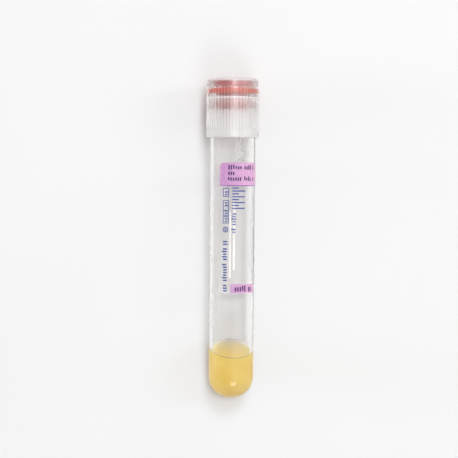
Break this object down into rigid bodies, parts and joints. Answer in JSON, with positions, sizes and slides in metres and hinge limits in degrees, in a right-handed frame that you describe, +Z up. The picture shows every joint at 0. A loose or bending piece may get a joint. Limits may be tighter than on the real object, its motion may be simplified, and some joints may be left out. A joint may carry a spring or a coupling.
{
  "type": "blood collection tube",
  "caption": "Clear round-bottom blood collection tube lying on its side, with separator gel, a wrapped film label, and a ribbed translucent cap over a rubber stopper.",
  "frame": {"origin": "on the table, under the middle of the lying object", "axes": "+Y along the tube towards its closure, +Z up, +X across the tube"},
  "size_m": [0.0176, 0.1064, 0.0179],
  "materials": {
    "tube": "clear, glossy",
    "separator_gel": "soft, wet",
    "label": "clear film",
    "shield": "frosted",
    "stopper": "matt"
  },
  "bodies": {
    "tube": {"tube": "tube", "separator_gel": "separator_gel", "label": "label"},
    "closure": {"shield": "shield", "stopper": "stopper"}
  },
  "joints": [
    {"name": "closure_pull", "type": "slide", "parent": "tube", "child": "closure", "axis": [0, 0.9999, 0.0166], "range_m": [0, 0.03]}
  ]
}
